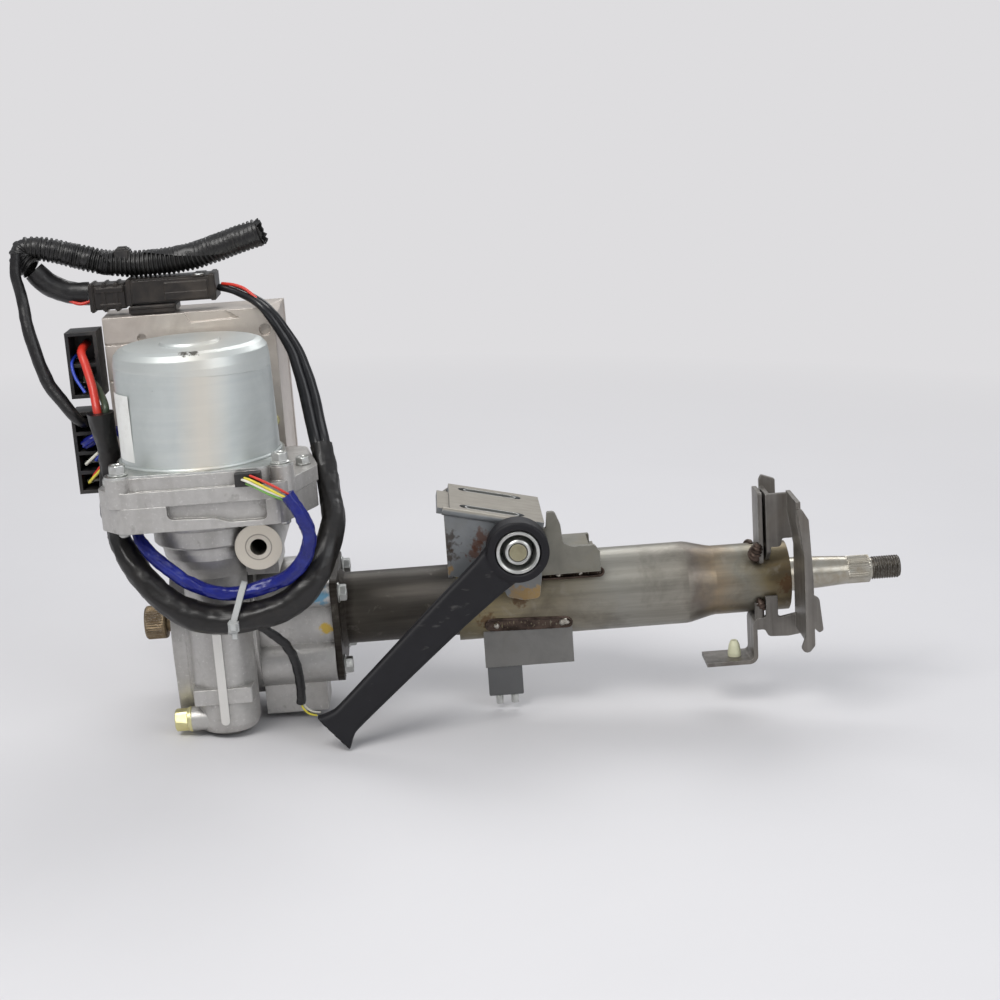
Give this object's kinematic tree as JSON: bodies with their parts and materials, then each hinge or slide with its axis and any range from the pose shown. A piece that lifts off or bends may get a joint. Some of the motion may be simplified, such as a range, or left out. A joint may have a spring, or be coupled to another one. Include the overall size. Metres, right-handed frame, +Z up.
{
  "type": "steering column",
  "caption": "Electric power-assist steering column: worm gearbox with motor and controller, telescoping jacket, tilt clamp with lever, splined and threaded wheel shaft.",
  "frame": {"origin": "in the tilt pivot bore, where its axis crosses the plane of the column axis", "axes": "+X to the steering wheel end along the ground, +Y away from the viewer along the pivot bore, +Z up; the column axis rises 3.8 degrees from +X"},
  "size_m": [0.5192, 0.1488, 0.2858],
  "materials": {
    "cast_alloy": "satin",
    "zinc_can": "satin",
    "bearing_steel": "polished",
    "shaft_steel": "satin",
    "jacket_steel": "satin",
    "bracket_steel": "satin",
    "plain_zinc": "satin",
    "yellow_zinc": "satin",
    "lever_black": "matte",
    "nylon": "matte",
    "black_plastic": "matte",
    "black_sleeve": "satin",
    "blue_sleeve": "gloss",
    "red_cable": "satin",
    "green_cable": "satin",
    "copper": "satin",
    "laminated_steel": "matte",
    "board": "matte",
    "white_nylon": "matte"
  },
  "bodies": {
    "gear_unit": {"gear_housing": "cast_alloy", "housing_cover": "cast_alloy", "pivot_bush": "plain_zinc", "wheel_bearings": "bearing_steel", "worm_bearings": "bearing_steel", "motor_stator": "laminated_steel", "motor_can": "zinc_can", "motor_end_plate": "cast_alloy", "motor_adapter": "cast_alloy", "motor_bearings": "bearing_steel", "motor_bolts": "plain_zinc", "sensor_housing": "cast_alloy", "sensor_coils": "copper", "input_bearing": "bearing_steel", "lower_tube": "jacket_steel", "flange_bolts": "plain_zinc", "jack_bolt": "yellow_zinc", "slide_liner": "white_nylon", "controller_case": "cast_alloy", "controller_base": "cast_alloy", "controller_board": "board", "controller_screws": "yellow_zinc", "power_connector": "black_plastic", "signal_connector": "black_plastic", "sensor_connector": "black_plastic", "loom_plug": "black_plastic", "loom_socket": "black_plastic", "loom": "black_sleeve", "taped_leads": "black_sleeve", "side_lead": "black_sleeve", "right_leads": "black_sleeve", "main_sleeve": "black_sleeve", "power_leads": "red_cable", "ground_lead": "green_cable", "blue_sleeve": "blue_sleeve", "sensor_lead": "black_sleeve", "cable_tie": "white_nylon"},
    "upper_column": {"outer_tube": "jacket_steel", "upper_bearing": "bearing_steel", "clamp_bracket": "bracket_steel", "clamp_bolt": "yellow_zinc", "clamp_spacer": "shaft_steel", "lower_bracket": "bracket_steel", "bracket_studs": "plain_zinc", "end_bracket": "bracket_steel", "foot_clip": "nylon"},
    "steering_shaft": {"upper_shaft": "shaft_steel"},
    "lower_train": {"output_shaft": "shaft_steel", "wheel_hub": "shaft_steel", "wheel_rim": "nylon", "torsion_bar": "shaft_steel", "lower_shaft": "shaft_steel"},
    "worm_rotor": {"worm_shaft": "shaft_steel", "motor_coupling": "laminated_steel", "motor_rotor": "copper"},
    "tilt_mount": {"tilt_bracket": "bracket_steel", "slot_sliders": "plain_zinc"},
    "lock_lever": {"lever": "lever_black", "clamp_nut": "plain_zinc", "cam_plate": "yellow_zinc"}
  },
  "joints": [
    {"name": "collapse", "type": "slide", "parent": "gear_unit", "child": "upper_column", "axis": [0.9978, 0, 0.0663], "range_m": [-0.04, 0]},
    {"name": "steering_spin", "type": "hinge", "parent": "upper_column", "child": "steering_shaft", "pos_m": [0.30388, 0, -0.04095], "axis": [0.9978, 0, 0.0663], "continuous": true},
    {"name": "gear_spin", "type": "hinge", "parent": "gear_unit", "child": "lower_train", "pos_m": [-0.02539, 0, -0.06282], "axis": [0.9978, 0, 0.0663], "continuous": true},
    {"name": "worm_spin", "type": "hinge", "parent": "gear_unit", "child": "worm_rotor", "pos_m": [-0.02539, -0.045, -0.06282], "axis": [-0.0663, 0, 0.9978], "continuous": true},
    {"name": "tilt", "type": "hinge", "parent": "upper_column", "child": "tilt_mount", "pos_m": [0, 0, 0], "axis": [0, 1, 0], "range_deg": [-6, 0]},
    {"name": "lever_lock", "type": "hinge", "parent": "upper_column", "child": "lock_lever", "pos_m": [0.14361, 0, -0.01201], "axis": [0, 1, 0], "range_deg": [-60, 0]}
  ],
  "couplings": [
    {"joint": "gear_spin", "follows": "steering_spin", "ratio": 1},
    {"joint": "worm_spin", "follows": "steering_spin", "ratio": 18}
  ]
}
